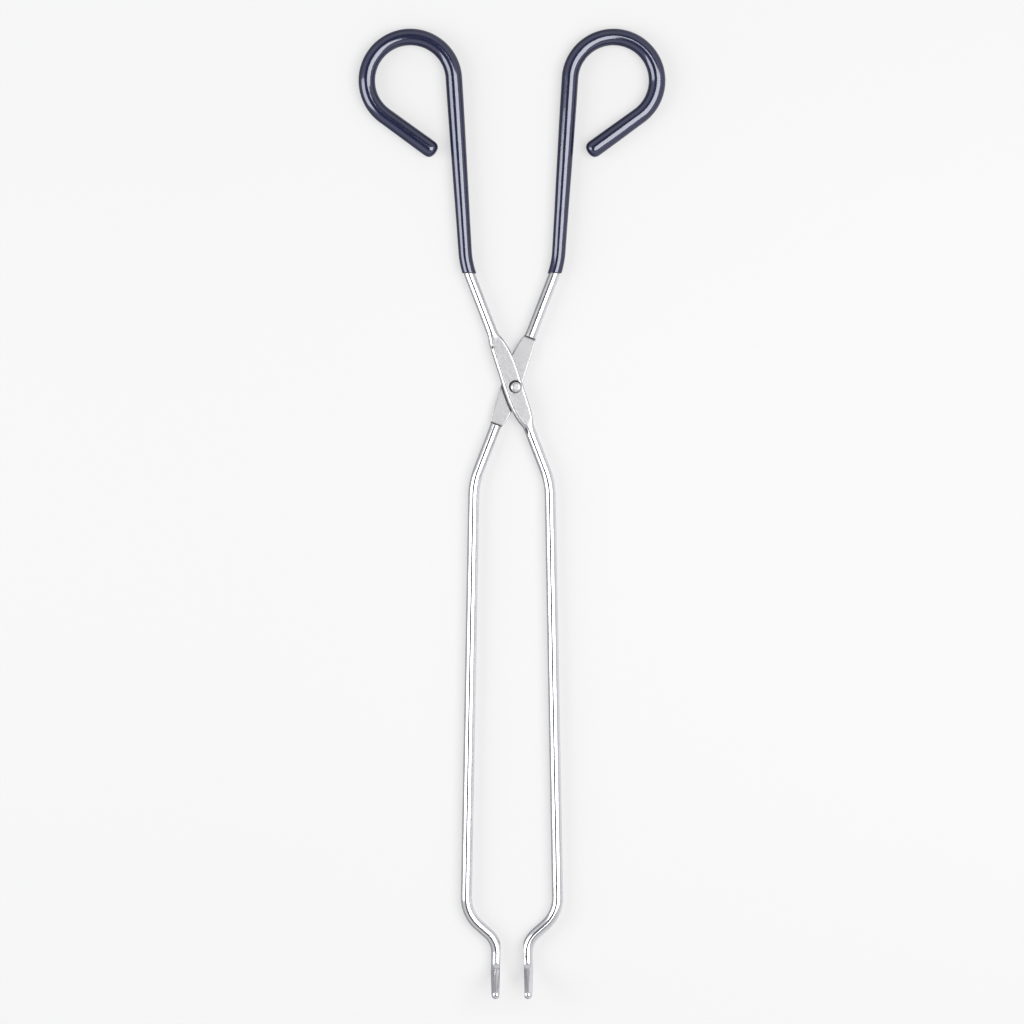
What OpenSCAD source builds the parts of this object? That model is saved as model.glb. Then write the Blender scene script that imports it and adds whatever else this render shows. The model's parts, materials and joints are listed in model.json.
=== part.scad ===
// Long crucible tongs. Two bent steel rods cross at a flattened half-lap and turn on one
// rivet. One end of each rod is a finger loop under a dipped plastic coat, and the other
// end turns in, turns up and carries a serrated gripping face.
// The tongs lie flat: Z is up, the handles point to +Y and the jaws to -Y. The origin is
// on the rivet's axis, at the flat end of the rivet's lower head.

/* [Rod] */
// Diameter of the steel rod that both arms are bent from
rod_d = 6; // [5.4:0.1:7]
// Half of the angle between the arms where they cross, at rest
cross_half = 21.1; // [19:0.1:24]
// Angle through which the jaws have opened at rest
rest_open = 2.36; // [0.5:0.02:6]

/* [Half-lap] */
// Distance from the crossing to the flattened stretch's shoulder on the handle's side
lap_up = 27.4; // [22:0.2:30]
// Distance from the crossing to the flattened stretch's shoulder on the jaw's side
lap_down = 24; // [22:0.2:30]
// Width of the flattened stretch at its middle
lap_w = 10.8; // [9.8:0.1:11.4]
// Width of the flattened stretch near its shoulders
lap_shoulder_w = 8.4; // [7.5:0.1:9.6]
// Length over which a flat runs out into the round rod
lap_runout = 8; // [5:0.5:12]
// Gap between the two flats, so that they turn freely
lap_gap = 0.06; // [0.02:0.01:0.2]

/* [Rivet] */
// Diameter of the rivet's shank
rivet_d = 3.2; // [3:0.1:3.6]
// Distance from the rivet to the rods' crossing, along X
cross_x = -1.8; // [-2.2:0.1:0]
// Distance from the rivet to the rods' crossing, along Y
cross_y = 1.6; // [0:0.1:2]
// Diameter of both rivet heads
head_d = 6.2; // [5.4:0.1:7]
// Diameter of the flat on the end of each head
head_flat_d = 3.2; // [2.4:0.1:4]
// Height of the upper head
head_h = 1.5; // [1:0.1:2]
// Height of the lower, hammered head
tail_h = 1.2; // [0.8:0.1:1.6]
// Radial running clearance of the front arm on the rivet
rivet_clear = 0.05; // [0.02:0.01:0.1]

/* [Handles] */
// Straight length from the crossing to the bend above it
handle_run = 63; // [50:0.5:80]
// Radius of the bend above the crossing
handle_bend_r = 48; // [30:1:70]
// Angle of the bend above the crossing
handle_bend = 17.4; // [12:0.1:19]
// Straight length of the shank below the finger loop
shank = 95.8; // [80:0.1:110]
// Centreline radius of the finger loop
loop_r = 24; // [20:0.5:28]
// Angle that the finger loop turns through
loop_turn = 230.3; // [220:0.1:234]
// Straight length at the end of the finger loop
loop_end = 29.2; // [20:0.1:31]

/* [Plastic coat] */
// Part of the bend above the crossing that stays bare below the coat, in degrees
coat_from = 2.8; // [1:0.1:6]
// Outside diameter of the coat at its lower end
coat_low_d = 7.4; // [7.2:0.1:9]
// Outside diameter of the coat on the finger loop
coat_loop_d = 9.2; // [8.6:0.1:10.4]
// Outside diameter of the coat at the loop's rounded end
coat_end_d = 9.6; // [8.8:0.1:10.8]
// Plastic beyond the end of the rod, before the rounded end
coat_over = 1; // [0.5:0.1:2]
// Radial slack between coat and rod, which the plastic's grip takes up
coat_slack = 0.01; // [0.005:0.005:0.03]

/* [Jaw arms] */
// Straight length from the crossing to the bend below it
jaw_run = 50.7; // [40:0.1:60]
// Radius of the bend below the crossing
jaw_bend_r = 42; // [30:1:60]
// Angle of the bend below the crossing
jaw_bend = 20.05; // [18:0.05:21]
// Straight length of each jaw arm
jaw_arm = 221; // [120:1:260]

/* [Jaw tips] */
// Radius of the bend that turns a jaw in towards its partner
toe_in_r = 20; // [14:1:30]
// Angle of that bend
toe_in = 50; // [40:1:60]
// Radius of the bend that turns the jaw forward again
toe_back_r = 14; // [10:1:20]
// Straight length of the toe before it turns up
toe = 3; // [1:0.5:8]
// Radius of the bend that turns the tip up
tip_bend_r = 10; // [7:0.5:14]
// Angle at which the tip stands up from the arms' plane
tip_up = 55; // [40:1:70]
// Length of the upturned tip
tip_len = 17; // [12:0.5:24]
// Diameter at the tip's rounded end
tip_end_d = 4.8; // [4:0.1:5.4]
// Distance from the rod's axis to the flat gripping face
grip_depth = 1.9; // [1.5:0.1:2.2]
// Gap left between the gripping faces when the tongs are shut
grip_gap = 0.1; // [0.04:0.02:0.3]
// Distance between serrations
tooth_pitch = 2; // [1.6:0.1:3]
// Number of serrations on each face
teeth = 7; // [3:1:8]
// Depth of each serration
tooth_depth = 0.45; // [0.3:0.05:0.6]

/* [Hidden] */
$fn = 96;

rod_r = rod_d / 2;
mid_z = tail_h + rod_r;      // height of the plane that holds both rods' axes
swing = rest_open / 2;       // each jaw's share of the rest opening
join = 0.2;                  // length by which a straight run reaches into its neighbours
neck = 0.98;                 // a straight run's radius, as a share of its neighbours'
over = 1;                    // how far a drill passes beyond the metal
lap_round = 1.3;             // radius of a flat's rounded edges
lap_step = 2;                // distance from a shoulder back to the corner of its outline
lap_belly = 2;               // how much wider the outline is than the bar, at its middle
lap_end_w = 0.7 * rod_d;     // width at which a flat's outline ends, inside the round rod
head_rim = 0.35;             // height of the upright rim round each rivet head
tip_bare = 1;                // plain length of the tip beyond the last serration
cut_w = 30;                  // width of the block that shapes a gripping face
cut_len = jaw_arm + 100;     // its length, from the bend below the crossing to past the tip

// A path is a list of steps [size, turn, r1, r2]. With turn 0 the step is a straight run of
// length size, whose radius goes from r1 to r2. Otherwise it is a bend of radius size, of
// tube radius r1, and a positive turn goes to the left. A step with r1 = 0 isn't drawn.
function run(length, r1, r2) = [length, 0, r1, r2];
function bend(radius, turn, r) = [radius, turn, r, r];

function undrawn(steps) = [for (s = steps) [s[0], s[1], 0, 0]];

// Sideways travel, to the left, of a path that starts at this heading
function travel(steps, heading, i = 0) = i == len(steps) ? 0 :
    let (size = steps[i][0], turn = steps[i][1])
    (turn == 0 ? size * sin(heading) :
        size * sign(turn) * (cos(heading) - cos(heading + turn)))
    + travel(steps, heading + turn, i + 1);

// Draws a path from the origin along +Y, and places its children at the path's end
module follow(steps, i = 0) {
    if (i == len(steps)) children();
    else if (steps[i][1] == 0) {
        if (steps[i][2] > 0) translate([0, -join, 0]) rotate([-90, 0, 0])
            cylinder(h = steps[i][0] + 2 * join, r1 = neck * steps[i][2], r2 = neck * steps[i][3]);
        translate([0, steps[i][0], 0]) follow(steps, i + 1) children();
    }
    else {
        turn = steps[i][1];
        centre = -sign(turn) * steps[i][0];
        translate([centre, 0, 0]) {
            if (steps[i][2] > 0) rotate([0, 0, turn > 0 ? 0 : 180 + turn])
                rotate_extrude(angle = abs(turn))
                    translate([steps[i][0], 0]) circle(r = steps[i][2]);
            rotate([0, 0, turn]) translate([-centre, 0, 0]) follow(steps, i + 1) children();
        }
    }
}

// The handle from the crossing up, as steel rod
rod_handle = [
    run(lap_up, 0, 0),
    run(handle_run - lap_up, rod_r, rod_r),
    bend(handle_bend_r, -handle_bend, rod_r),
    run(shank, rod_r, rod_r),
    bend(loop_r, loop_turn, rod_r),
    run(loop_end, rod_r, rod_r)];

// The same handle, as the outside of the plastic coat
coat_handle = [
    run(handle_run, 0, 0),
    bend(handle_bend_r, -coat_from, 0),
    bend(handle_bend_r, coat_from - handle_bend, coat_low_d / 2),
    run(shank, coat_low_d / 2, coat_loop_d / 2),
    bend(loop_r, loop_turn, coat_loop_d / 2),
    run(loop_end + coat_over, coat_loop_d / 2, coat_end_d / 2)];

// The jaw arm from the crossing down to where it turns in
jaw_path = [
    run(lap_down, 0, 0),
    run(jaw_run - lap_down, rod_r, rod_r),
    bend(jaw_bend_r, -jaw_bend, rod_r),
    run(jaw_arm, rod_r, rod_r)];

// Jaw arm's heading and place beside the mid plane, with the tongs shut
shut_heading = cross_half - jaw_bend - swing;
shut_start = cross_x * (cos(swing) - 1) + cross_y * sin(swing);
shut_place = shut_start + travel(jaw_path, cross_half - swing);
toe_back = toe_in - shut_heading;
toe_bends = travel([bend(toe_in_r, -toe_in, 0), bend(toe_back_r, toe_back, 0)], shut_heading);
toe_slope = (shut_place - grip_depth - grip_gap / 2 + toe_bends) / sin(toe_in - shut_heading);

toe_path = [
    bend(toe_in_r, -toe_in, rod_r),
    run(toe_slope, rod_r, rod_r),
    bend(toe_back_r, toe_back, rod_r),
    run(toe, rod_r, rod_r)];

tip_path = [
    bend(tip_bend_r, tip_up, rod_r),
    run(tip_len, rod_r, tip_end_d / 2)];

// Places its children at the crossing: side 1 is the front arm, and side -1 its mirror image
module at_crossing(side) {
    translate([cross_x, cross_y, mid_z]) mirror([side > 0 ? 0 : 1, 0, 0]) children();
}

// Outline of the flattened stretch
module lap_outline() {
    right = [
        [lap_end_w / 2, -lap_down - lap_runout], [lap_shoulder_w / 2, lap_step - lap_down],
        [(lap_w + lap_belly) / 2, 0],
        [lap_shoulder_w / 2, lap_up - lap_step], [lap_end_w / 2, lap_up + lap_runout]];
    left = [for (i = [len(right) - 1:-1:0]) [-right[i][0], right[i][1]]];
    polygon(concat(right, left));
}

// Bar with rounded upper edges, which the outline is cut from
module lap_bar() {
    length = 2 * (max(lap_up, lap_down) + lap_runout);
    inner_w = lap_w - 2 * lap_round;
    rotate([90, 0, 0]) linear_extrude(height = length, center = true) {
        translate([-lap_w / 2, lap_gap / 2]) square([lap_w, rod_r - lap_round - lap_gap / 2]);
        translate([-inner_w / 2, lap_gap / 2]) square([inner_w, rod_r - lap_gap / 2]);
        for (x = [-1, 1]) translate([x * inner_w / 2, rod_r - lap_round]) circle(r = lap_round);
    }
}

module lap_flat() {
    intersection() {
        linear_extrude(height = rod_r) lap_outline();
        lap_bar();
    }
}

// Serrations across the gripping face, drawn from the foot of the upturned tip
module serrations() {
    notch = tooth_depth * sqrt(2);
    first = tip_len - (teeth - 1) * tooth_pitch - tip_bare;
    for (i = [0:teeth - 1]) translate([0, first + i * tooth_pitch, grip_depth])
        rotate([45, 0, 0]) cube([rod_d * 2, notch, notch], center = true);
}

// One jaw from the crossing down. The block that cuts its gripping face stands on the mid
// plane with the tongs shut, so it swings with the arm to the rest pose.
module jaw(side) {
    difference() {
        at_crossing(side) rotate([0, 0, 180 + cross_half]) follow(concat(jaw_path, toe_path))
            rotate([0, 90, 0]) follow(tip_path) sphere(r = tip_end_d / 2);
        rotate([0, 0, side * swing]) translate([cross_x + side * grip_gap / 2, 0, 0])
            translate([side > 0 ? -cut_w : 0, -jaw_run - cut_len, -cut_w])
                cube([cut_w, cut_len, 3 * cut_w]);
        at_crossing(side) rotate([0, 0, 180 + cross_half]) follow(undrawn(concat(jaw_path, toe_path)))
            rotate([0, 90, 0]) follow([bend(tip_bend_r, tip_up, 0)]) serrations();
    }
}

// One steel arm from finger loop to jaw tip, with its half-lap and rivet hole
module arm(side, hole_r) {
    difference() {
        union() {
            at_crossing(side) rotate([0, 0, cross_half]) {
                follow(rod_handle);
                mirror([0, 0, side > 0 ? 0 : 1]) lap_flat();
            }
            jaw(side);
        }
        translate([0, 0, -over]) cylinder(h = 2 * (mid_z + over), r = hole_r);
    }
}

// Dipped coat over a handle, closed and rounded at the end of the finger loop
module grip(side) {
    at_crossing(side) rotate([0, 0, cross_half]) difference() {
        follow(coat_handle) sphere(r = coat_end_d / 2);
        follow([for (s = rod_handle) s[2] > 0 ? [s[0], s[1], s[2] + coat_slack, s[3] + coat_slack] : s]);
    }
}

module front_arm() {
    color("silver") arm(1, rivet_d / 2 + rivet_clear);
}

module rear_arm() {
    color("silver") arm(-1, rivet_d / 2);
}

module front_grip() {
    color([0.17, 0.18, 0.33]) grip(1);
}

module rear_grip() {
    color([0.17, 0.18, 0.33]) grip(-1);
}

// Rivet with a domed upper head and a hammered lower head, each flat at its end
module rivet() {
    top_z = mid_z + rod_r + rivet_clear;
    color("gainsboro") rotate_extrude() polygon([
        [0, 0], [head_flat_d / 2, 0], [head_d / 2, tail_h - head_rim], [head_d / 2, tail_h],
        [rivet_d / 2, tail_h], [rivet_d / 2, top_z], [head_d / 2, top_z],
        [head_d / 2, top_z + head_rim], [head_flat_d / 2, top_z + head_h], [0, top_z + head_h]]);
}

front_arm();
rear_arm();
front_grip();
rear_grip();
rivet();
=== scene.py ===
"""Looks of the long crucible tongs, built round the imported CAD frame.

Each arm is one skin of rings swept along the rod's path: round where the rod is round, pressed
flat at the half-lap, and ground flat with serrations at the jaw. The plastic coats are swept
the same way, and the rivet is a turned and hammered profile. Lengths are in metres, and the
path's driving sizes are those of the CAD model, hung on its pivot joint and rod height.
"""

import json
import math

import bmesh
import bpy
import numpy as np
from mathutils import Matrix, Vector, noise


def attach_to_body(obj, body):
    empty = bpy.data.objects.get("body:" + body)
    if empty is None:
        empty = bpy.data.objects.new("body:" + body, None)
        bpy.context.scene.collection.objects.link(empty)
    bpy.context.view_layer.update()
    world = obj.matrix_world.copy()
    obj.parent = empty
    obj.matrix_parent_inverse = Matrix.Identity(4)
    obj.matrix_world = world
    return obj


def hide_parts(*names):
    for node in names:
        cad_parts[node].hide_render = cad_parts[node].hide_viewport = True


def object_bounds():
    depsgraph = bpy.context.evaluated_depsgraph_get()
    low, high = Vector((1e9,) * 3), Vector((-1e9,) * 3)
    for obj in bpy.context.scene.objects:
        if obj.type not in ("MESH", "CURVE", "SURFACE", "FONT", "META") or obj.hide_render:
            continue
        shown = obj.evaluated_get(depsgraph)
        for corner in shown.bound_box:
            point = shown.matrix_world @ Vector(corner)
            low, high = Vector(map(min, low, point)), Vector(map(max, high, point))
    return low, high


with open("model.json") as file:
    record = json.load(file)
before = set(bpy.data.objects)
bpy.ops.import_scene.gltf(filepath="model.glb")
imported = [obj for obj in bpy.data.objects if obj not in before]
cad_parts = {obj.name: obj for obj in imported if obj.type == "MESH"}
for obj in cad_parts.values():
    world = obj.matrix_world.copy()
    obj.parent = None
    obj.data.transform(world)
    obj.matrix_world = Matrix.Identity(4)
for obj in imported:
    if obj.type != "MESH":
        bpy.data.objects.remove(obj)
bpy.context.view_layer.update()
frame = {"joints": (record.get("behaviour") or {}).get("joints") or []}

MM = 0.001

# ---------------------------------------------------------------- driving sizes

RING = 72  # points round a rod, a coat or the rivet
ROD_R = 3.0 * MM
CROSS_HALF = math.radians(21.1)  # half of the angle between the arms at the crossing
SWING = math.radians(1.18)  # how far each jaw has opened from shut, at rest
CROSSING = Vector((-1.8 * MM, 1.6 * MM))  # where the rods cross, beside the rivet

# The half-lap, where each rod is pressed flat at the crossing and ends in a shoulder on each side
LAP_UP, LAP_DOWN = 27.4 * MM, 24.0 * MM  # crossing to the shoulder up the handle, and down the jaw
LAP_W = 11.0 * MM  # width at the crossing
LAP_UP_W, LAP_DOWN_W = 7.0 * MM, 6.9 * MM  # widths at the two shoulders
LAP_TAPER = 3.2  # how suddenly the flattened stretch narrows towards its shoulders
LAP_UP_SKEW, LAP_DOWN_SKEW = 0.65 * MM, -0.3 * MM  # how far pressing pushed each half to one side
LAP_ROUND, LAP_ROUND_LEFT = 2.2 * MM, 1.21 * MM  # outer edges' radii, right and left of the path
LAP_CRISP = 0.4 * MM  # edge radius at the mating face
LAP_GAP = 0.08 * MM  # between the two mating faces
LAP_RUNOUT = 8.0 * MM  # beyond a shoulder, where the pressed shape runs out into the round rod

# Where the round rod starts to turn into the half-lap, and where it has, beyond each shoulder
OUTER_BLEND = (5.5 * MM, -3.0 * MM)  # on its outer side
FLANK_BLEND = (3.5 * MM, -3.0 * MM)  # on its flanks
STEP_BLEND = (0.4 * MM, -0.4 * MM)  # on its mating side, which is a step
STEP_SHARE = 0.6  # how far the flanks near the mating side follow that step

# The handle: straight, bent, straight along the shank, round the finger loop, and its end
HANDLE_RUN, HANDLE_BEND_R, HANDLE_BEND = 63.0 * MM, 48.0 * MM, math.radians(17.4)
SHANK = 95.8 * MM
LOOP_R, LOOP_TURN, LOOP_END = 24.0 * MM, math.radians(230.3), 29.2 * MM

# The jaw: straight, bent, a long straight arm, the toe's turn in and back, and the upturned tip
JAW_RUN, JAW_BEND_R, JAW_BEND = 50.7 * MM, 42.0 * MM, math.radians(20.05)
JAW_ARM = 221.0 * MM
TOE_IN_R, TOE_IN = 20.0 * MM, math.radians(50)
TOE_BACK_R, TOE = 14.0 * MM, 3.0 * MM
TIP_BEND_R, TIP_UP, TIP_LEN = 10.0 * MM, math.radians(55), 17.0 * MM
TIP_END_R = 2.4 * MM
GRIP_DEPTH, GRIP_GAP = 1.9 * MM, 0.1 * MM  # rod axis to gripping face, and between the faces when shut
TEETH, TOOTH_PITCH, TOOTH_DEPTH = 7, 2.0 * MM, 0.45 * MM
TOOTH_MARGIN = 1.0 * MM  # from the last groove to where the tip's end rounds off
GRIND_REACH = 8.0 * MM  # before the tip's bend, where grinding may already meet the toe

# The dipped coats
COAT_START = HANDLE_RUN + math.radians(2.8) * HANDLE_BEND_R
COAT_LOW_R, COAT_LOOP_R, COAT_END_R = 3.68 * MM, 4.58 * MM, 4.78 * MM
COAT_OVER = 1.0 * MM  # how far the coat reaches over the rod's end before it rounds off
COAT_BORE_R = ROD_R + 0.02 * MM
COAT_LIP_R, COAT_LIP_DROP = 0.5 * MM, 0.1 * MM  # the lower lip rounds off just below the bore
COAT_DOME = 0.82  # below 1, the coat's end is blunter than a half sphere
COAT_SLOW, COAT_QUICK = 38, 120  # waves per metre of its uneven thickness
COAT_SLOW_DEPTH, COAT_QUICK_DEPTH = 0.04 * MM, 0.008 * MM
DIP_SLANT = math.radians(19.5)  # the coat's lower edge is level when the tongs hang, as it was dipped
DIP_FADE = 9.0 * MM  # above its lower edge, where the coat's rings are square to the rod again

# The rivet, and the shallow seat that riveting pressed round each of its heads
RIVET_R, HEAD_R = 1.6 * MM, 2.95 * MM
HEAD_H, TAIL_H = 1.5 * MM, 1.2 * MM
HEAD_SHIFT = Vector((0.32 * MM, -0.27 * MM))  # the head was closed a little off the rivet's axis
SEAT_R, SEAT_DEPTH, SEAT_SLOPE = 3.52 * MM, 0.4 * MM, 0.12 * MM
TURNING_CLEARANCE, PRESSED_CLEARANCE = 0.05 * MM, 0.015 * MM  # in the front and the rear arm's hole

# Painted shade and dulled steel, each from 0 to 1
FLANK_PRESSED = 0.4  # how far pressing dulled the flanks of the half-lap
# painted shade: at the foot of each shoulder's step, just under the coat's lip, and in the rivet's bore and
# seat
SHOULDER_SHADE, LIP_SHADE, BORE_SHADE = 0.95, 0.8, 0.4
SHOULDER_SHADE_IN = 0.15 * MM  # how far inside the shoulder its line of painted shade lies
SHOULDER_SHADE_WIDTH, LIP_SHADE_WIDTH = 0.5 * MM, 0.4 * MM  # half of each line's width
SHADED_DEPTH = 0.3 * MM  # a dent this deep is fully darkened with painted shade
DENT_SPREAD = 2.2  # above 1, painted shade fills more of a dent than its deepest point
CORNER_TOP = 4.0 * MM  # up to here along the front arm, a painted shadow lies in the corner beside it
FAR_OFF = -99.0  # a corner distance that means nowhere near the corner

# Distances between an arm's rings, which are close where its shape or its painted shade changes quickly
PITCH_SHOULDER, PITCH_LAP, PITCH_BEND, PITCH_STRAIGHT = 0.12 * MM, 0.5 * MM, 0.8 * MM, 2.5 * MM
PITCH_DENT, PITCH_TOE, PITCH_TEETH = 0.15 * MM, 0.3 * MM, 0.11 * MM
BEND_REACH = 16.0 * MM  # from the start of each bend beside the half-lap to beyond its end

LAMP_DISTANCE = 1.35  # from the tongs to the soft boxes

PIVOT = Vector(frame["joints"][0]["pos_m"])
MID_Z = PIVOT.z  # the plane that holds both rods' axes


# ---------------------------------------------------------------- the rod's path


def smooth(edge0, edge1, x):
    """0 at edge0, 1 at edge1, with no corner at either."""
    t = np.clip((x - edge0) / (edge1 - edge0), 0.0, 1.0)
    return t * t * (3 - 2 * t)


def bell(distance, width):
    """1 at no distance, and close to 0 beyond twice the width."""
    return np.exp(-((distance / width) ** 2))


def run(length):
    """A straight step of a path, as (length, turn)."""
    return (length, 0.0)


def bend(radius, turn):
    """A curved step of a path, as (length, turn)."""
    return (radius * abs(turn), turn)


def total(steps):
    """Length of a path."""
    return sum(length for length, _ in steps)


def walk(steps, distance, heading):
    """Place and heading after a distance along steps from the origin.

    Heading 0 is +Y, and left turns are positive.
    """
    x = y = 0.0
    for length, turn in steps:
        part = min(distance, length)
        if part > 0:
            share = turn * part / length
            chord = part if abs(share) < 1e-9 else 2 * length / turn * math.sin(share / 2)
            x -= chord * math.sin(heading + share / 2)
            y += chord * math.cos(heading + share / 2)
            heading += share
        distance -= part
    if distance > 0:
        x -= distance * math.sin(heading)
        y += distance * math.cos(heading)
    return x, y, heading


def sideways(steps, heading):
    """Travel to the left of +Y along steps that start at this heading."""
    return -walk(steps, total(steps), heading)[0]


SHANK_STEPS = [run(HANDLE_RUN), bend(HANDLE_BEND_R, -HANDLE_BEND), run(SHANK)]
HANDLE = SHANK_STEPS + [bend(LOOP_R, LOOP_TURN), run(LOOP_END)]
JAW = [run(JAW_RUN), bend(JAW_BEND_R, -JAW_BEND), run(JAW_ARM)]


def toe_steps():
    """The jaw's turn in and back, which ends with the rod's axis a set depth from the shut face."""
    shut = CROSS_HALF - JAW_BEND - SWING
    start = CROSSING.x * (math.cos(SWING) - 1) + CROSSING.y * math.sin(SWING)
    reached = start + sideways(JAW, CROSS_HALF - SWING)
    back = TOE_IN - shut
    bends = sideways([bend(TOE_IN_R, -TOE_IN), bend(TOE_BACK_R, back)], shut)
    slope = (reached - GRIP_DEPTH - GRIP_GAP / 2 + bends) / math.sin(TOE_IN - shut)
    return [bend(TOE_IN_R, -TOE_IN), run(slope), bend(TOE_BACK_R, back), run(TOE)]


JAW_AND_TOE = JAW + toe_steps()
HANDLE_LENGTH, FLAT_LENGTH = total(HANDLE), total(JAW_AND_TOE)
TIP_BEND_LENGTH = TIP_BEND_R * TIP_UP
TIP_FOOT = FLAT_LENGTH + TIP_BEND_LENGTH
JAW_LENGTH = TIP_FOOT + TIP_LEN


class Station:
    """One cross-section of an arm: its centre, and the directions along, left and up.

    Its distance s from the crossing is positive up the handle and negative down the jaw. Along
    points towards the jaw, and left is to the left of it.
    """

    def __init__(self, s):
        self.s = s
        pitch = 0.0
        if s >= 0:
            x, y, heading = walk(HANDLE, s, CROSS_HALF)
            heading += math.pi
        else:
            x, y, heading = walk(JAW_AND_TOE, min(-s, FLAT_LENGTH), math.pi + CROSS_HALF)
        forward = Vector((-math.sin(heading), math.cos(heading), 0))
        self.left = Vector((-math.cos(heading), -math.sin(heading), 0))
        centre = Vector((x, y, 0))
        beyond = -s - FLAT_LENGTH
        if beyond > 0:
            pitch = min(beyond / TIP_BEND_R, TIP_UP)
            centre += forward * TIP_BEND_R * math.sin(pitch)
            centre.z += TIP_BEND_R * (1 - math.cos(pitch))
            straight = max(0.0, beyond - TIP_BEND_LENGTH)
            centre += (forward * math.cos(pitch) + Vector((0, 0, math.sin(pitch)))) * straight
        self.centre = centre
        self.up = Vector((0, 0, 1)) * math.cos(pitch) - forward * math.sin(pitch)
        self.along = forward * math.cos(pitch) + Vector((0, 0, 1)) * math.sin(pitch)


# ---------------------------------------------------------------- skins over rings


def ring_angles():
    return np.arange(RING) / RING * 2 * math.pi


def place(station, a, b, side, ahead=0.0):
    """A ring's points from its left (a) and up (b) coordinates, each moved ahead along the rod.

    Side 1 is the front arm, and -1 its mirror image.
    """
    points = np.outer(a, station.left) + np.outer(b, station.up) + np.array(station.centre)
    points += np.outer(np.broadcast_to(ahead, len(a)), station.along)
    points[:, 0] = points[:, 0] * side + CROSSING.x
    points[:, 1] += CROSSING.y
    points[:, 2] += MID_Z
    return points


def skin_faces(rows, count):
    """Faces of a tube of rows rings, with a fan at each end round a point that follows them all."""
    faces = []
    for i in range(rows - 1):
        low, high = i * count, (i + 1) * count
        faces += [(low + j, low + (j + 1) % count, high + (j + 1) % count, high + j) for j in range(count)]
    first, last = rows * count, rows * count + 1
    high = (rows - 1) * count
    faces += [(first, (j + 1) % count, j) for j in range(count)]
    faces += [(last, high + j, high + (j + 1) % count) for j in range(count)]
    return faces


def add_facts(mesh, facts):
    """Adds a float or vector attribute for each named fact, with one value for each ring point."""
    for fact, values in facts.items():
        values = np.array(values, np.float32)
        values = np.concatenate([values, values[:1], values[-1:]])
        if values.ndim == 1:
            mesh.attributes.new(fact, "FLOAT", "POINT").data.foreach_set("value", values)
        else:
            mesh.attributes.new(fact, "FLOAT_VECTOR", "POINT").data.foreach_set("vector", values.ravel())


def skin(name, rings, facts, material):
    """A closed piece through rings of equal size, with its facts as attributes."""
    ends = [rings[0].mean(0), rings[-1].mean(0)]
    vertices = np.vstack([np.vstack(rings), ends])
    mesh = bpy.data.meshes.new(name)
    mesh.from_pydata(vertices.tolist(), [], skin_faces(len(rings), len(rings[0])))
    add_facts(mesh, facts)
    work = bmesh.new()
    work.from_mesh(mesh)
    bmesh.ops.recalc_face_normals(work, faces=work.faces)
    work.to_mesh(mesh)
    work.free()
    mesh.polygons.foreach_set("use_smooth", [True] * len(mesh.polygons))
    mesh.materials.append(material)
    piece = bpy.data.objects.new(name, mesh)
    bpy.context.scene.collection.objects.link(piece)
    return piece


# ---------------------------------------------------------------- arms


def past_shoulder(s):
    """Distance beyond the nearer shoulder of the half-lap, and negative inside the half-lap."""
    return s - LAP_UP if s >= 0 else -s - LAP_DOWN


def jaw_pitch(s, dents):
    """Distance to the next ring along the jaw, beyond the half-lap."""
    if any(abs(s - dent[0]) < 1.5 * MM for dent in dents if dent[0] < -LAP_DOWN - LAP_RUNOUT):
        return PITCH_DENT
    if -s > TIP_FOOT:
        return PITCH_TEETH
    if -s > FLAT_LENGTH - 6 * MM:
        return PITCH_TOE
    if -s > total(JAW) - 2 * MM or JAW_RUN < -s < JAW_RUN + BEND_REACH:
        return PITCH_BEND
    return PITCH_STRAIGHT


def pitch_at(s, dents):
    """Distance to the next ring of an arm."""
    past = past_shoulder(s)
    if abs(past) < 1.2 * MM or abs(s - COAT_START) < 2.4 * MM:
        return PITCH_SHOULDER
    if past < LAP_RUNOUT:
        return PITCH_LAP
    if s < 0:
        return jaw_pitch(s, dents)
    if HANDLE_RUN < s < HANDLE_RUN + BEND_REACH:
        return PITCH_BEND
    return PITCH_STRAIGHT


def lap_width(s):
    """Width of the half-lap at a distance from the crossing, and how far its middle is aside."""
    up, down = (LAP_UP, LAP_UP_W, LAP_UP_SKEW), (LAP_DOWN, LAP_DOWN_W, LAP_DOWN_SKEW)
    end, end_w, skew = up if s >= 0 else down
    share = min(abs(s) / end, 1)
    return LAP_W - (LAP_W - end_w) * share**LAP_TAPER, skew * math.sin(math.pi * share)


def lap_section(width, phi, edge):
    """The half-lap's section: rounded flanks on its outer side, and a flat mating face.

    phi is each point's height angle, in degrees: 90 on the outer side, -90 on the mating face.
    edge is the radius of the flank on each point's side. Returns distances from the middle, and
    heights above the mating face.
    """
    mating_end, crisp_end, wall_end, flank_end = -38, -30, -25, 62
    thick = ROD_R - LAP_GAP / 2
    crisp = np.radians(np.interp(phi, [mating_end, crisp_end], [0, 90]))
    flank = np.radians(np.interp(phi, [wall_end, flank_end], [0, 90]))
    reach = np.interp(phi, [-90, mating_end, flank_end, 90], [0, 1, 1, 0])
    wall = np.interp(phi, [crisp_end, wall_end], [0, 1]) * (thick - edge - LAP_CRISP)
    low_a = (width / 2 - LAP_CRISP) * reach + LAP_CRISP * np.sin(crisp)
    low_b = LAP_CRISP * (1 - np.cos(crisp)) + wall
    high_a = (width / 2 - edge) * reach + edge * np.cos(flank)
    high_b = thick - edge + edge * np.sin(flank)
    return np.where(phi < wall_end, low_a, high_a), np.where(phi < wall_end, low_b, high_b)


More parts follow.
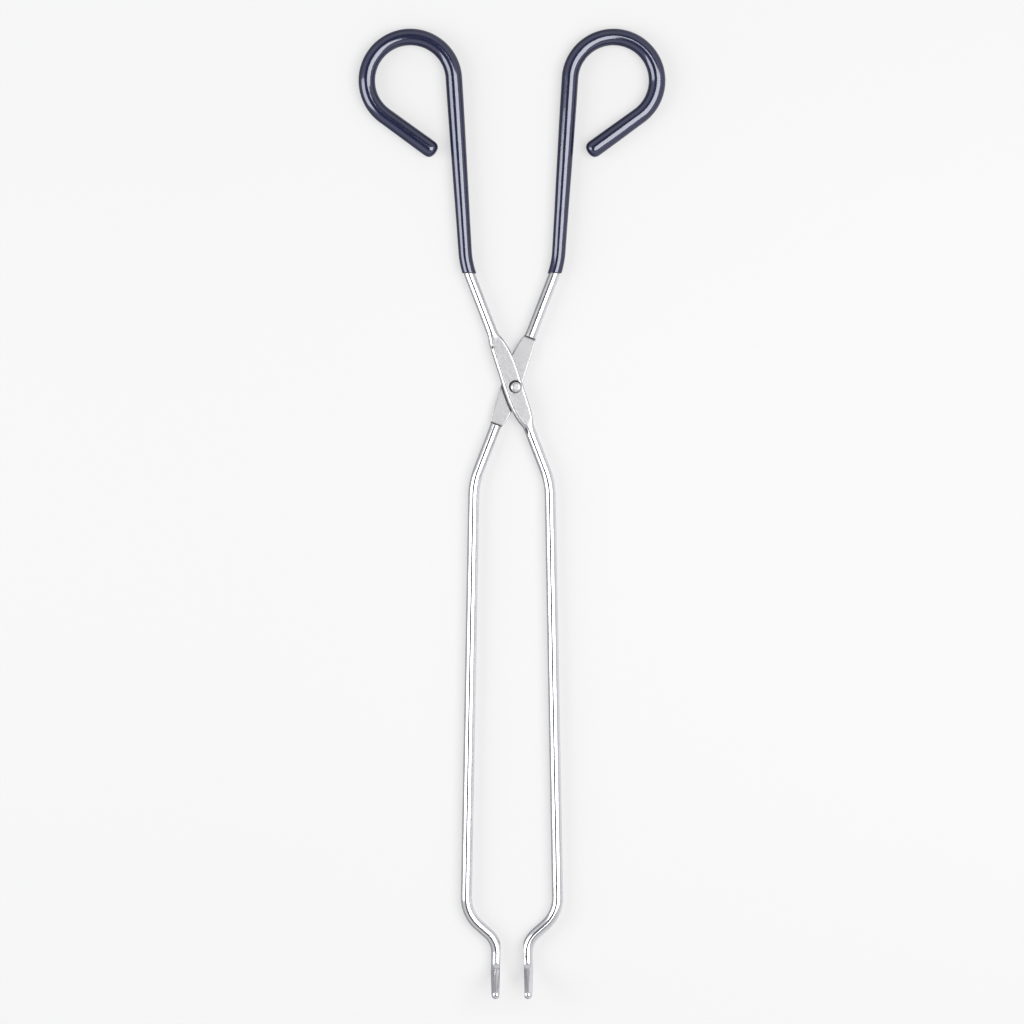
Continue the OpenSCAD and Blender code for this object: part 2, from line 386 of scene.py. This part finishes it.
def press_lap(a, b, theta, s, side):
    """Presses a round ring towards the half-lap's section, and tells what that dulls and where painted shade
    darkens the shoulder's step.
    """
    past = past_shoulder(s)
    phi = np.degrees(np.arcsin(np.clip(np.sin(theta) * side, -1, 1)))
    width, skew = lap_width(s)
    outward = np.sign(np.cos(theta))
    flat_a, flat_b = lap_section(width, phi, np.where(outward < 0, LAP_ROUND, LAP_ROUND_LEFT))
    flat_a = flat_a * outward + skew
    flat_b = (flat_b + LAP_GAP / 2) * side
    w_outer, w_step, w_flank = (smooth(*ends, past) for ends in (OUTER_BLEND, STEP_BLEND, FLANK_BLEND))
    outer, outer_face = smooth(-15, 25, phi), smooth(46, 66, phi)
    mating, mating_face = smooth(-12, -30, phi), smooth(-30, -40, phi)
    a = a + (flat_a - a) * (w_flank + (w_step - w_flank) * (1 - outer) * STEP_SHARE)
    b = b + (flat_b - b) * (w_step + (w_outer - w_step) * outer)
    pressed = np.maximum(w_outer * outer_face + w_step * mating_face, FLANK_PRESSED * w_flank)
    # painted shade: a dark line along the foot of the shoulder's step, on the mating side
    painted_shade = SHOULDER_SHADE * bell(past + SHOULDER_SHADE_IN, SHOULDER_SHADE_WIDTH) * mating
    return a, b, pressed, painted_shade


def dent_ring(a, b, painted_shade, theta, s, mark):
    """Pushes a ring in where it crosses a mark, and paints shade into the mark's hollow."""
    at, turn, length, width, depth = mark
    across = 2 * arm_radius(s) * np.sin((theta - turn) / 2)
    hollow = bell(s - at, length) * bell(across, width)
    # painted shade, darker the deeper the hollow
    shade_share = np.minimum(DENT_SPREAD * hollow, 1.0) * min(depth / SHADED_DEPTH, 1.0)
    a, b = a - depth * hollow * np.cos(theta), b - depth * hollow * np.sin(theta)
    return a, b, np.maximum(painted_shade, shade_share)


def arm_radius(s):
    """The rod's radius, which falls along the upturned tip and rounds off at its end."""
    t = -s - TIP_FOOT
    if t <= 0:
        return ROD_R
    radius = ROD_R + (TIP_END_R - ROD_R) * min(t / TIP_LEN, 1.0)
    beyond = t - TIP_LEN
    if beyond > 0:
        radius = TIP_END_R * math.sqrt(max(1 - (beyond / TIP_END_R) ** 2, 0.0004))
    return radius


def groove(s):
    """Depth of the serrations at a distance along the upturned tip."""
    t = -s - TIP_FOOT
    first = TIP_LEN - (TEETH - 1) * TOOTH_PITCH - TOOTH_MARGIN
    near = min(abs(t - first - i * TOOTH_PITCH) for i in range(TEETH))
    return max(0.0, TOOTH_DEPTH - near)


def grind(points, s, side):
    """Cuts the jaw's gripping face: nothing may pass the mid plane once the tongs are shut."""
    angle = -side * SWING
    c, n = math.cos(angle), math.sin(angle)
    x, y = points[:, 0] * c - points[:, 1] * n, points[:, 0] * n + points[:, 1] * c
    limit = GRIP_GAP / 2 + groove(s)
    cut = side * (x - CROSSING.x) < limit
    x = np.where(cut, CROSSING.x + side * limit, x)
    points[:, 0], points[:, 1] = x * c + y * n, y * c - x * n
    return cut


def corner_gap(points):
    """Distances in mm from the front arm's -X edge, at rest, to points of the rear arm's flat.

    They are known below CORNER_TOP along the front arm. Other places are FAR_OFF.
    """
    x, y = points[:, 0] - CROSSING.x, points[:, 1] - CROSSING.y
    across = x * math.cos(CROSS_HALF) + y * math.sin(CROSS_HALF)
    along = y * math.cos(CROSS_HALF) - x * math.sin(CROSS_HALF)
    lap = [lap_width(float(s)) for s in along]
    edge = np.array([skew - width / 2 for width, skew in lap])
    facing_up = points[:, 2] > MID_Z - 2 * LAP_GAP
    return np.where(facing_up & (along < CORNER_TOP), (edge - across) / MM, FAR_OFF)


def arm_ring(station, side, dents):
    """One ring of an arm, its section, and how pressed, how darkened by painted shade and how near the corner
    each point is.
    """
    s = station.s
    theta = ring_angles()
    a, b = arm_radius(s) * np.cos(theta), arm_radius(s) * np.sin(theta)
    pressed, painted_shade, corner = np.zeros(RING), np.zeros(RING), np.full(RING, FAR_OFF)
    if past_shoulder(s) < LAP_RUNOUT:
        a, b, pressed, painted_shade = press_lap(a, b, theta, s, side)
    elif abs(s - COAT_START) < 3 * MM:
        # painted shade: a dark line on the rod just under the coat's lower lip
        lip = COAT_START - COAT_LIP_DROP - math.tan(DIP_SLANT) * a
        painted_shade = LIP_SHADE * bell(s - lip, LIP_SHADE_WIDTH)
    for mark in dents:
        a, b, painted_shade = dent_ring(a, b, painted_shade, theta, s, mark)
    points = place(station, a, b, side)
    if -s > FLAT_LENGTH - GRIND_REACH:
        pressed = np.maximum(pressed, grind(points, s, side))
    if side < 0 and past_shoulder(s) < 0:
        corner = corner_gap(points)
    return points, a, b, pressed, painted_shade, corner


def arm_marks(dents):
    """Distances of an arm's rings, from the loop's end to the rounded end of the jaw."""
    marks = []
    s = HANDLE_LENGTH
    while s > -JAW_LENGTH:
        marks.append(s)
        s -= pitch_at(s, dents)
    return marks + [-JAW_LENGTH - TIP_END_R * math.sin(math.radians(x)) for x in range(0, 90, 6)]


def build_arm(name, side, dents, material):
    """An arm from loop to jaw, with the attributes that its material reads."""
    rings = []
    facts = {"rod": [], "pressed": [], "painted_shade": [], "corner": []}
    for s in arm_marks(dents):
        points, a, b, pressed, painted_shade, corner = arm_ring(Station(s), side, dents)
        rings.append(points)
        facts["rod"] += [(x / MM, y / MM, s / MM) for x, y in zip(a, b)]
        facts["pressed"] += list(pressed)
        facts["painted_shade"] += list(painted_shade)
        facts["corner"] += list(corner)
    arm = skin(name, rings, facts, material)
    bore_arm(arm, side)
    return arm


def lathe(profile, segments=64):
    """A closed bmesh turned about the pivot from (radius, height) pairs, bottom to top."""
    work = bmesh.new()
    rows = []
    for r, z in profile:
        row = []
        for i in range(segments):
            angle = i / segments * 2 * math.pi
            row.append(work.verts.new((PIVOT.x + r * math.cos(angle), PIVOT.y + r * math.sin(angle), z)))
        rows.append(row)
    for low, high in zip(rows, rows[1:]):
        for i in range(segments):
            j = (i + 1) % segments
            work.faces.new((low[i], low[j], high[j], high[i]))
    work.faces.new(rows[0][::-1])
    work.faces.new(rows[-1])
    return work


def seat_drill(side):
    """An object in the shape of an arm's rivet hole and the shallow seat at its outer face."""
    hole_r = RIVET_R + (TURNING_CLEARANCE if side > 0 else PRESSED_CLEARANCE)
    face, far = MID_Z + side * ROD_R, MID_Z - side * 2 * ROD_R
    floor_z, out_z = face - side * SEAT_DEPTH, face + side * 2 * MM
    profile = [(hole_r, far), (hole_r, floor_z), (SEAT_R - SEAT_SLOPE, floor_z)]
    profile += [(SEAT_R, face), (SEAT_R, out_z)]
    work = lathe(profile if side > 0 else profile[::-1])
    mesh = bpy.data.meshes.new("rivet_drill")
    work.to_mesh(mesh)
    work.free()
    drill = bpy.data.objects.new("rivet_drill", mesh)
    bpy.context.scene.collection.objects.link(drill)
    return drill


def bore_arm(arm, side):
    """Cuts the rivet's hole and seat, and marks them for the material."""
    drill = seat_drill(side)
    cut = arm.modifiers.new("bore", "BOOLEAN")
    cut.operation, cut.solver, cut.object = "DIFFERENCE", "EXACT", drill
    bored = bpy.data.meshes.new_from_object(arm.evaluated_get(bpy.context.evaluated_depsgraph_get()))
    arm.modifiers.clear()
    arm.data = bored
    bpy.data.objects.remove(drill)
    mark_bore(bored, side)


def mark_bore(mesh, side):
    """Sets the attributes round the bore, where the cut made new points."""
    across = Vector((math.cos(CROSS_HALF) * side, math.sin(CROSS_HALF), 0))
    along = Vector((-math.sin(CROSS_HALF) * side, math.cos(CROSS_HALF), 0))
    centre = Vector((CROSSING.x, CROSSING.y, MID_Z))
    facts = [mesh.attributes[name].data for name in ("rod", "pressed", "painted_shade", "corner")]
    rod, pressed, painted_shade, corner = facts
    face = MID_Z + side * ROD_R
    for vertex in mesh.vertices:
        reach = math.hypot(vertex.co.x - PIVOT.x, vertex.co.y - PIVOT.y)
        if reach > SEAT_R + 0.02 * MM:
            continue
        offset = (vertex.co - centre) / MM
        rod[vertex.index].vector = (offset.dot(across), offset.z, offset.dot(along))
        pressed[vertex.index].value = 1.0
        # painted shade: dark in the bore, and darkening down into the seat's recess round the rivet head
        sunk = min(1.0, max(0.0, side * (face - vertex.co.z) / SEAT_DEPTH))
        inner = side * (vertex.co.z - MID_Z) < 1 * MM
        painted_shade[vertex.index].value = BORE_SHADE if inner else sunk
        corner[vertex.index].value = FAR_OFF


# ---------------------------------------------------------------- plastic coats


def coat_radius(s, seed):
    """The dipped coat is thin at its lower edge and gathers towards the end of the loop."""
    r = COAT_LOW_R + (COAT_LOOP_R - COAT_LOW_R) * smooth(COAT_START, total(SHANK_STEPS), s)
    r += (COAT_END_R - COAT_LOOP_R) * smooth(HANDLE_LENGTH - LOOP_END, HANDLE_LENGTH, s)
    slow = noise.noise(Vector((s * COAT_SLOW, seed, 0)))
    quick = noise.noise(Vector((s * COAT_QUICK, seed + 7.3, 0)))
    return r + COAT_SLOW_DEPTH * slow + COAT_QUICK_DEPTH * quick


def lip_rows(low_r):
    """The coat's rounded lower lip, as (s, radius, share of painted shade)."""
    rows = [(COAT_START, COAT_BORE_R, 1.0), (COAT_START - 0.08 * MM, COAT_BORE_R + 0.08 * MM, 1.0)]
    for degrees in range(0, 91, 9):
        angle = math.radians(degrees)
        s = COAT_START - COAT_LIP_DROP + COAT_LIP_R * (1 - math.cos(angle))
        rows.append((s, low_r - COAT_LIP_R + COAT_LIP_R * math.sin(angle), 1 - degrees / 90))
    return rows


def end_rows(end, end_r):
    """The coat's blunt end over the rod's end, in the same form."""
    rows = []
    for degrees in range(0, 91, 4):
        angle = math.radians(degrees)
        along, across = math.sin(angle) ** COAT_DOME, math.cos(angle) ** COAT_DOME
        rows.append((end + 0.93 * end_r * along, max(end_r * across, 0.05 * MM), 0.0))
    return rows


def coat_profile(seed):
    """Rings of a coat, in the same form: down its bore, round the lip, and back over the end."""
    end = HANDLE_LENGTH + COAT_OVER
    bore = [(s, COAT_BORE_R, 1.0) for s in np.arange(HANDLE_LENGTH, COAT_START + 1 * MM, -4 * MM)]
    outside = np.arange(COAT_START + COAT_LIP_R + 0.3 * MM, end, 1.3 * MM)
    body = [(s, coat_radius(s, seed), 0.0) for s in outside]
    return bore + lip_rows(coat_radius(COAT_START, seed)) + body + end_rows(end, coat_radius(end, seed))


def build_coat(name, side, seed, material):
    """A dipped coat, slightly lumpy, with its lower edge level when the tongs hang."""
    theta = ring_angles()
    rings, where, edge = [], [], []
    for s, r, shaded in coat_profile(seed):
        lump = [noise.noise(Vector((math.cos(t), math.sin(t), s * 40 + seed))) for t in theta]
        reach = r + (0.01 * MM * np.array(lump) if r > ROD_R + 1 * MM else 0)
        a, b = reach * np.cos(theta), reach * np.sin(theta)
        slant = math.tan(DIP_SLANT) * (1 - smooth(COAT_START + 1 * MM, COAT_START + DIP_FADE, s))
        rings.append(place(Station(float(s)), a, b, side, slant * a))
        where += [(x / MM, y / MM, s / MM) for x, y in zip(a, b)]
        # painted shade, nearly black in the bore and round the lower lip
        edge += [shaded] * RING
    return skin(name, rings, {"rod": where, "edge": edge}, material)


# ---------------------------------------------------------------- rivet

TAIL_RIM_Z = TAIL_H + SEAT_DEPTH - 0.02 * MM  # just short of the seat in the rear arm
HEAD_RIM_Z = MID_Z + ROD_R - SEAT_DEPTH + 0.03 * MM  # just clear of the seat in the front arm
CROWN_Z = MID_Z + ROD_R + 0.05 * MM + HEAD_H  # no blow leaves the head higher

# The tail's outline from axis to rim and the head's from rim to axis, as shares of radius and height
TAIL_OUTLINE = [(0.05, 0.0), (0.3, 0.0), (0.47, 0.0), (0.52, 0.01), (0.6, 0.06), (0.72, 0.18), (0.84, 0.36)]
TAIL_OUTLINE += [(0.93, 0.56), (0.985, 0.78), (1.0, 0.96)]
HEAD_OUTLINE = [(1.0, 0.0), (1.0, 0.16), (0.998, 0.34), (0.985, 0.46), (0.955, 0.58), (0.9, 0.7)]
HEAD_OUTLINE += [(0.825, 0.81), (0.74, 0.9), (0.66, 0.96), (0.59, 0.99), (0.545, 1.0)]
HEAD_OUTLINE += [(0.3, 1.0), (0.05, 1.0)]


def rivet_profile():
    """The rivet from its tail up, as (radius, height, share of the head's height)."""
    rows = [(HEAD_R * r, TAIL_RIM_Z * z, 0.0) for r, z in TAIL_OUTLINE]
    rows += [(HEAD_R, TAIL_RIM_Z, 0.0), (RIVET_R, TAIL_RIM_Z, 0.0), (RIVET_R, HEAD_RIM_Z, 0.0)]
    return rows + [(HEAD_R * r, HEAD_RIM_Z + (CROWN_Z - HEAD_RIM_Z) * z, z) for r, z in HEAD_OUTLINE]


def rivet_ring(r, z, lift):
    """A ring of the rivet. Its head is off the axis, a little tilted and beaten towards its crown."""
    theta = ring_angles()
    shift = HEAD_SHIFT if lift or (z >= HEAD_RIM_Z and r > RIVET_R) else Vector((0, 0))
    x = PIVOT.x + shift.x + r * np.cos(theta)
    y = PIVOT.y + shift.y + r * np.sin(theta)
    height = np.full(RING, z)
    if lift:
        blows = [noise.noise(Vector((p / MM * 0.9, q / MM * 0.9, z / MM))) for p, q in zip(x, y)]
        beaten = abs(0.03 * MM * np.array(blows))
        tilt = lift * (0.02 * (y - PIVOT.y) - 0.03 * (x - PIVOT.x)) - lift * beaten
        height = np.minimum(height + tilt, CROWN_Z)
    return np.stack([x, y, height], 1)


def build_rivet(material):
    """A snap head with a filed disc on top, set a little to one side, and a hammered tail below."""
    rings, where, disc = [], [], []
    for r, z, lift in rivet_profile():
        ring = rivet_ring(r, z, lift)
        rings.append(ring)
        where += [(x / MM, y / MM, z / MM) for x, y in ring[:, :2]]
        flat = lift > 0.985 or (z < 0.02 * MM and r < 0.5 * HEAD_R)
        disc += [1.0 if flat else 0.0] * RING
    return skin("rivet_hammered", rings, {"rod": where, "pressed": disc}, material)


# ---------------------------------------------------------------- materials


def tone(red, green=None, blue=None):
    """An opaque colour, which is grey from one number."""
    return (red, red if green is None else green, red if blue is None else blue, 1)


class Nodes:
    """Short forms for building a material's node tree."""

    def __init__(self, name):
        self.material = bpy.data.materials.new(name)
        self.material.use_nodes = True
        self.tree = self.material.node_tree
        self.shader = self.tree.nodes["Principled BSDF"]

    def feed(self, node, key, value):
        """Sets a node's input to a number or colour, or links another node's output to it."""
        if isinstance(value, bpy.types.NodeSocket):
            self.tree.links.new(value, node.inputs[key])
        else:
            node.inputs[key].default_value = value

    def finish(self, **inputs):
        """Feeds the Principled shader's inputs, named with _ for each space, and ends the material."""
        for key, value in inputs.items():
            self.feed(self.shader, key.replace("_", " "), value)
        return self.material

    def source(self, kind, output):
        """An output of a new node that needs no input."""
        return self.tree.nodes.new("ShaderNode" + kind).outputs[output]

    def fact(self, name, output="Fac"):
        """A vertex attribute of the mesh."""
        node = self.tree.nodes.new("ShaderNodeAttribute")
        node.attribute_name = name
        return node.outputs[output]

    def maths(self, operation, a, b):
        node = self.tree.nodes.new("ShaderNodeMath")
        node.operation = operation
        self.feed(node, 0, a)
        self.feed(node, 1, b)
        return node.outputs[0]

    def noise(self, vector, stretch, scale, detail, roughness=0.55, distortion=0.0):
        """Noise over a vector that is first scaled along its three directions, if stretch is given."""
        if stretch:
            mapping = self.tree.nodes.new("ShaderNodeMapping")
            self.feed(mapping, "Vector", vector)
            self.feed(mapping, "Scale", stretch)
            vector = mapping.outputs[0]
        node = self.tree.nodes.new("ShaderNodeTexNoise")
        values = {"Vector": vector, "Scale": scale, "Detail": detail, "Roughness": roughness}
        for key, value in {**values, "Distortion": distortion}.items():
            self.feed(node, key, value)
        return node.outputs["Fac"]

    def span(self, value, low, high, to_low, to_high):
        """Maps a value from one range to another, and holds it at the ends."""
        node = self.tree.nodes.new("ShaderNodeMapRange")
        for i, x in enumerate((value, low, high, to_low, to_high)):
            self.feed(node, i, x)
        return node.outputs[0]

    def mix(self, factor, a, b):
        """Mixes two colours."""
        node = self.tree.nodes.new("ShaderNodeMix")
        node.data_type = "RGBA"
        for i, x in ((0, factor), (6, a), (7, b)):
            self.feed(node, i, x)
        return node.outputs[2]

    def mix_value(self, factor, a, b):
        """Mixes two numbers."""
        node = self.tree.nodes.new("ShaderNodeMix")
        for i, x in ((0, factor), (2, a), (3, b)):
            self.feed(node, i, x)
        return node.outputs[0]

    def bump(self, height, strength, distance, normal=None):
        node = self.tree.nodes.new("ShaderNodeBump")
        values = {"Height": height, "Strength": strength, "Distance": distance}
        if normal is not None:
            values["Normal"] = normal
        for key, value in values.items():
            self.feed(node, key, value)
        return node.outputs["Normal"]


def steel_painted_shade(n, grain):
    """How far painted shade darkens the steel: in dents and recesses, and as a painted shadow in the corner
    beside the front arm.
    """
    corner = n.fact("corner")
    # painted shadow: a narrow dark line on the rear arm's flat beside the front arm's edge
    corner_shadow = n.maths("MULTIPLY", n.span(corner, -0.1, 0.05, 0.0, 0.92), n.span(corner, 0.55, 1.15, 1.0, 0.0))
    shade_share = n.maths("MAXIMUM", n.fact("painted_shade"), corner_shadow)
    return n.maths("MULTIPLY", shade_share, n.span(grain, 0.2, 0.6, 0.75, 1.0))


def steel_material():
    """Drawn and polished rod, which turns satin and mottled where it was pressed or ground."""
    n = Nodes("polished_rod_steel")
    rod, pressed = n.fact("rod", "Vector"), n.fact("pressed")
    draw_lines = n.noise(rod, (2.6, 2.6, 0.035), 3.0, 4.0, 0.6)
    haze = n.noise(rod, (0.35, 0.35, 0.06), 1.0, 3.0)
    scratches = n.noise(rod, (9.0, 9.0, 0.12), 2.0, 2.0, 0.7)
    mottle = n.noise(rod, (1.0, 1.0, 0.42), 1.5, 4.0, 0.6, 0.4)
    grain = n.noise(rod, (2.6, 2.6, 0.7), 1.6, 3.0, 0.6)
    shade_mask = steel_painted_shade(n, grain)
    polished = n.mix(n.span(draw_lines, 0.35, 0.7, 0.0, 1.0), tone(0.70, 0.70, 0.715), tone(0.82, 0.82, 0.83))
    satin = n.mix(n.span(mottle, 0.36, 0.64, 0.0, 1.0), tone(0.325, 0.325, 0.33), tone(0.385))
    rough_rod = n.maths("ADD", n.span(haze, 0.3, 0.7, 0.11, 0.17), n.span(scratches, 0.55, 0.8, 0.0, 0.10))
    rough = n.mix_value(pressed, rough_rod, n.span(grain, 0.3, 0.7, 0.40, 0.52))
    rough_skin = n.maths("ADD", n.maths("MULTIPLY", mottle, 0.30), n.maths("MULTIPLY", grain, 0.11))
    ripple = n.mix_value(pressed, 0.5, rough_skin)
    lines = n.bump(draw_lines, 0.12, 0.06 * MM)
    return n.finish(
        # painted shade turns the steel nearly black, matt and not metallic
        Base_Color=n.mix(shade_mask, n.mix(pressed, polished, satin), tone(0.022, 0.02, 0.019)),
        Metallic=n.span(shade_mask, 0.3, 0.9, 1.0, 0.0),
        Specular_IOR_Level=n.mix_value(shade_mask, 0.5, 0.04),
        Roughness=n.mix_value(shade_mask, rough, 0.75),
        Normal=n.bump(ripple, 0.5, 0.22 * MM, lines),
    )


def plastic_colour(n, rod, specks, edge):
    """Uneven navy with pale specks, and painted shade, nearly black, in the bore and round the lower lip."""
    cloud = n.noise(rod, (0.25, 0.25, 0.05), 1.0, 3.0)
    cloudy = n.span(cloud, 0.35, 0.65, 0.0, 1.0)
    navy = n.mix(cloudy, tone(0.0070, 0.0080, 0.030), tone(0.0105, 0.0120, 0.042))
    specked = n.mix(specks, navy, tone(0.10, 0.105, 0.15))
    return n.mix(edge, specked, tone(0.004, 0.004, 0.008))


def plastic_material():
    """Glossy navy dipped plastic: a deep colour under a clear skin, a little wavy and hazy.

    Its shine falls off towards the flanks, which are nearly edge on to the viewer.
    """
    n = Nodes("navy_dipped_plastic")
    rod, edge = n.fact("rod", "Vector"), n.fact("edge")
    peel = n.noise(rod, (1.0, 1.0, 0.5), 1.2, 2.0, 0.5)
    wave = n.noise(rod, (0.3, 0.3, 0.09), 1.0, 2.0)
    dust = n.noise(rod, (1.0, 1.0, 0.9), 6.0, 2.0, 0.6)
    rub = n.noise(rod, (2.0, 2.0, 0.25), 1.4, 4.0, 0.65)
    specks = n.span(dust, 0.72, 0.8, 0.0, 0.35)
    gloss = n.maths("ADD", n.span(rub, 0.4, 0.75, 0.12, 0.22), specks)
    sheen = n.span(n.source("LayerWeight", "Facing"), 0.10, 0.42, 1.0, 0.34)
    slow = n.bump(wave, 0.12, 0.6 * MM)
    return n.finish(
        Base_Color=plastic_colour(n, rod, specks, edge),
        Roughness=n.mix_value(edge, gloss, 0.7),
        IOR=1.54,
        Specular_IOR_Level=n.maths("MULTIPLY", sheen, 0.70),
        Specular_Tint=tone(0.80, 0.85, 1.0),
        Coat_Weight=n.maths("MULTIPLY", sheen, n.span(edge, 0.0, 0.6, 1.0, 0.0)),
        Coat_IOR=1.55,
        Coat_Roughness=n.span(rub, 0.4, 0.75, 0.07, 0.12),
        Normal=n.bump(peel, 0.07, 0.1 * MM, slow),
        Coat_Normal=n.bump(peel, 0.05, 0.1 * MM, slow),
    )


def rivet_material():
    """Bright turned head. The filed disc on top and the tail's flat end are dull."""
    n = Nodes("rivet_steel")
    rod, disc = n.fact("rod", "Vector"), n.fact("pressed")
    tool = n.noise(rod, None, 2.6, 4.0, 0.65)
    blows = n.noise(rod, None, 1.1, 2.0)
    bright, dull = n.span(tool, 0.3, 0.7, 0.13, 0.24), n.span(tool, 0.3, 0.7, 0.38, 0.5)
    return n.finish(
        Base_Color=n.mix(disc, tone(0.76, 0.76, 0.77), tone(0.33, 0.33, 0.335)),
        Metallic=1.0,
        Roughness=n.mix_value(disc, bright, dull),
        Normal=n.bump(blows, 0.35, 0.2 * MM, n.bump(tool, 0.12, 0.05 * MM)),
    )


def floor_material():
    """Pale matt laminate with a barely visible grain.

    The camera sees it lifted towards white. Shiny pieces mirror it as a card, lighter on the right.
    """
    n = Nodes("pale_floor")
    at = n.source("TexCoord", "Object")
    grain = n.noise(at, None, 90.0, 4.0, 0.6)
    cloud = n.noise(at, None, 2.0, 2.0)
    both = n.maths("ADD", n.maths("MULTIPLY", grain, 0.5), n.maths("MULTIPLY", cloud, 0.5))
    ray = n.tree.nodes.new("ShaderNodeLightPath")
    split = n.tree.nodes.new("ShaderNodeSeparateXYZ")
    n.feed(split, 0, n.source("NewGeometry", "Incoming"))
    to_right = n.span(split.outputs["X"], 0.15, -0.35, 0.0, 1.0)
    card = n.mix(to_right, tone(0.27, 0.27, 0.275), tone(0.62, 0.62, 0.63))
    lit = n.mix(both, tone(0.56), tone(0.595))
    seen = n.mix(ray.outputs["Is Camera Ray"], lit, tone(0.26))
    return n.finish(
        Base_Color=n.mix(ray.outputs["Is Glossy Ray"], seen, card),
        Emission_Color=tone(1.0),
        Emission_Strength=n.maths("MULTIPLY", ray.outputs["Is Camera Ray"], 0.54),
        Roughness=0.7,
        Specular_IOR_Level=0.2,
        Normal=n.bump(grain, 0.05, 0.2 * MM),
    )


# ---------------------------------------------------------------- assembly


def dent_at(s, degrees, length, width, depth):
    """A mark on an arm: its distance from the crossing, direction round the rod, and size in mm."""
    return (s * MM, math.radians(degrees), length * MM, width * MM, depth * MM)


REAR_DENTS = [
    dent_at(-128.0, 20, 0.6, 0.5, 0.14),
    dent_at(-139.0, 150, 0.5, 0.4, 0.10),
    dent_at(-53.5, 125, 0.5, 0.5, 0.13),
]
FRONT_DENTS = [
    dent_at(22.4, 146, 0.55, 0.9, 0.5),
    dent_at(-27.0, 132, 1.9, 0.9, 0.5),
    dent_at(-206.0, 70, 0.4, 0.4, 0.08),
]
FRONT_SEED, REAR_SEED = 1.7, 4.9  # the coats' unevenness


def attach(piece, node, body):
    """Puts a piece in a CAD node's place, on its body."""
    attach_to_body(piece, body)
    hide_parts(node)


def build_tongs():
    steel, plastic, rivet_steel = steel_material(), plastic_material(), rivet_material()
    front_rod = build_arm("front_arm_rod", 1, FRONT_DENTS, steel)
    attach(front_rod, "front_arm", "front_half")
    rear_rod = build_arm("rear_arm_rod", -1, REAR_DENTS, steel)
    attach(rear_rod, "rear_arm", "rear_half")
    front_coat = build_coat("front_coat", 1, FRONT_SEED, plastic)
    attach(front_coat, "front_grip", "front_half")
    rear_coat = build_coat("rear_coat", -1, REAR_SEED, plastic)
    attach(rear_coat, "rear_grip", "rear_half")
    attach(build_rivet(rivet_steel), "rivet", "rear_half")


# ---------------------------------------------------------------- stage


def build_floor(low_z):
    work = bmesh.new()
    bmesh.ops.create_grid(work, x_segments=2, y_segments=2, size=4.0)
    mesh = bpy.data.meshes.new("floor")
    work.to_mesh(mesh)
    work.free()
    mesh.materials.append(floor_material())
    floor = bpy.data.objects.new("floor", mesh)
    floor.location = (0, 0, low_z)
    bpy.context.scene.collection.objects.link(floor)


def softbox(name, radiance, tilts, spread_y, tint):
    """A long soft light overhead that the camera doesn't see.

    It fills the space between two tilts, in degrees about the tongs' length, and two places along it.
    """
    first, last = (math.radians(tilt) for tilt in tilts)
    tilt, half = (first + last) / 2, (last - first) / 2
    width, length = 2 * LAMP_DISTANCE * math.tan(half), spread_y[1] - spread_y[0]
    lamp = bpy.data.lights.new(name, "AREA")
    lamp.shape = "RECTANGLE"
    lamp.size, lamp.size_y = width, length
    lamp.energy = math.pi * width * length * radiance
    lamp.color = tint
    box = bpy.data.objects.new(name, lamp)
    box.location = (math.sin(tilt) * LAMP_DISTANCE, sum(spread_y) / 2, math.cos(tilt) * LAMP_DISTANCE)
    box.rotation_euler = (0, tilt, 0)
    box.visible_camera = False
    bpy.context.scene.collection.objects.link(box)


def build_world():
    """A white tent, pale to the camera. Reflections see a dim opening overhead, where the camera hangs."""
    tent_to_camera, cool_white = 0.84, (0.97, 0.98, 1.0, 1)
    levels_by_height = ((0.0, 0.45), (0.30, 0.82), (0.72, 0.60), (0.90, 0.09))
    world = bpy.data.worlds.new("studio")
    world.use_nodes = True
    tree = world.node_tree
    split = tree.nodes.new("ShaderNodeSeparateXYZ")
    tree.links.new(tree.nodes.new("ShaderNodeTexCoord").outputs["Generated"], split.inputs[0])
    ramp = tree.nodes.new("ShaderNodeValToRGB")
    tree.links.new(split.outputs["Z"], ramp.inputs[0])
    while len(ramp.color_ramp.elements) < len(levels_by_height):
        ramp.color_ramp.elements.new(0.5)
    for element, (height, level) in zip(ramp.color_ramp.elements, levels_by_height):
        element.position, element.color = height, tone(level)
    choose = tree.nodes.new("ShaderNodeMix")
    tree.links.new(tree.nodes.new("ShaderNodeLightPath").outputs["Is Camera Ray"], choose.inputs[0])
    tree.links.new(ramp.outputs[0], choose.inputs[2])
    choose.inputs[3].default_value = tent_to_camera
    background = tree.nodes["Background"]
    tree.links.new(choose.outputs[0], background.inputs["Strength"])
    background.inputs["Color"].default_value = cool_white
    bpy.context.scene.world = world


def build_camera(low, high):
    """Straight above, as the tongs are seen in a catalogue, with the handles at the top."""
    margin = 1.05
    centre = (low + high) / 2
    lens = bpy.data.cameras.new("camera")
    lens.lens, lens.sensor_width = 150.0, 36.0
    half = math.atan(lens.sensor_width / 2 / lens.lens)
    reach = (high.y - low.y) / 2 * margin
    camera = bpy.data.objects.new("camera", lens)
    camera.location = (centre.x, centre.y, high.z + reach / math.tan(half))
    camera.rotation_euler = (0, 0, 0)
    bpy.context.scene.collection.objects.link(camera)
    bpy.context.scene.camera = camera


build_tongs()
low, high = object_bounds()
build_floor(low.z - 0.05 * MM)
softbox("softbox_right", radiance=5.4, tilts=(2, 45), spread_y=(-0.58, 0.44), tint=(1.0, 0.985, 1.0))
softbox("softbox_left", radiance=4.2, tilts=(-77, -36), spread_y=(-0.45, 0.33), tint=(0.97, 0.985, 1.0))
build_world()
build_camera(low, high)
bpy.context.scene.view_settings.view_transform = "Standard"
